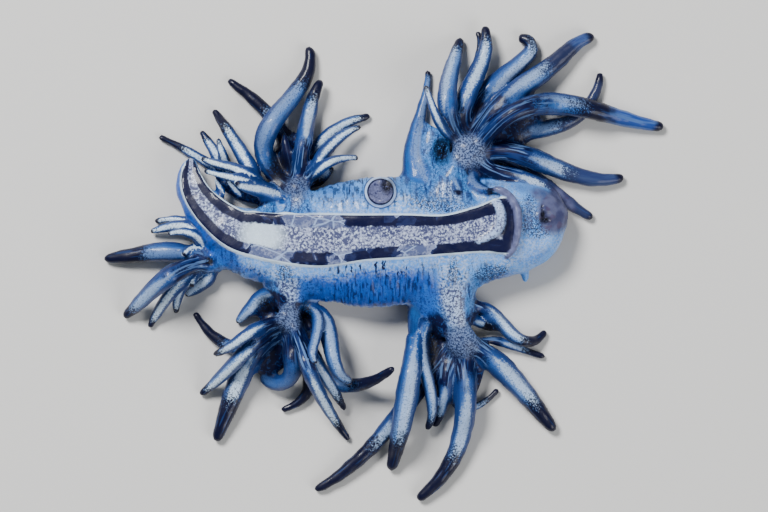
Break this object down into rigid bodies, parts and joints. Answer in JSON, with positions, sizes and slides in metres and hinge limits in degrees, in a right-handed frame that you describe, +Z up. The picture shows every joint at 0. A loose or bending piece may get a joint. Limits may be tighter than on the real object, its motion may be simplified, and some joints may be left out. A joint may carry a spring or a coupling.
{
  "type": "blue dragon sea slug",
  "caption": "Small blue sea slug stranded belly up, with paired arms that end in fans of finger-like cerata, a striped foot and a tapering tail.",
  "frame": {"origin": "middle of the footprint on the floor that the animal lies on", "axes": "+X along the body towards the head, +Y towards the animal's right side, +Z up from the floor, out of the belly"},
  "size_m": [0.042, 0.0356, 0.0057],
  "materials": {
    "head": "wet gloss",
    "lips": "wet gloss",
    "oral_tentacle_left": "wet gloss",
    "oral_tentacle_right": "wet gloss",
    "rhinophore_left": "wet gloss",
    "rhinophore_right": "wet gloss",
    "trunk_front": "wet gloss",
    "trunk_middle": "wet gloss",
    "trunk_rear": "wet gloss",
    "tail_base": "wet gloss",
    "tail_tip": "wet gloss",
    "foot_front": "wet gloss",
    "foot_middle": "wet gloss",
    "foot_rear": "wet gloss",
    "foot_tail": "wet gloss",
    "genital_papilla": "wet gloss",
    "arm_front_right": "wet gloss",
    "arm_front_left": "wet gloss",
    "arm_middle_left": "wet gloss",
    "cerata_front_right": "wet gloss",
    "cerata_front_left": "wet gloss",
    "cerata_middle_right": "wet gloss",
    "cerata_middle_left": "wet gloss",
    "cerata_rear_right": "wet gloss",
    "cerata_rear_left": "wet gloss"
  },
  "bodies": {
    "root": {"head": "head", "lips": "lips", "oral_tentacle_left": "oral_tentacle_left", "oral_tentacle_right": "oral_tentacle_right", "rhinophore_left": "rhinophore_left", "rhinophore_right": "rhinophore_right", "trunk_front": "trunk_front", "trunk_middle": "trunk_middle", "trunk_rear": "trunk_rear", "tail_base": "tail_base", "tail_tip": "tail_tip", "foot_front": "foot_front", "foot_middle": "foot_middle", "foot_rear": "foot_rear", "foot_tail": "foot_tail", "genital_papilla": "genital_papilla", "arm_front_right": "arm_front_right", "arm_front_left": "arm_front_left", "arm_middle_left": "arm_middle_left", "cerata_front_right": "cerata_front_right", "cerata_front_left": "cerata_front_left", "cerata_middle_right": "cerata_middle_right", "cerata_middle_left": "cerata_middle_left", "cerata_rear_right": "cerata_rear_right", "cerata_rear_left": "cerata_rear_left"}
  },
  "joints": []
}
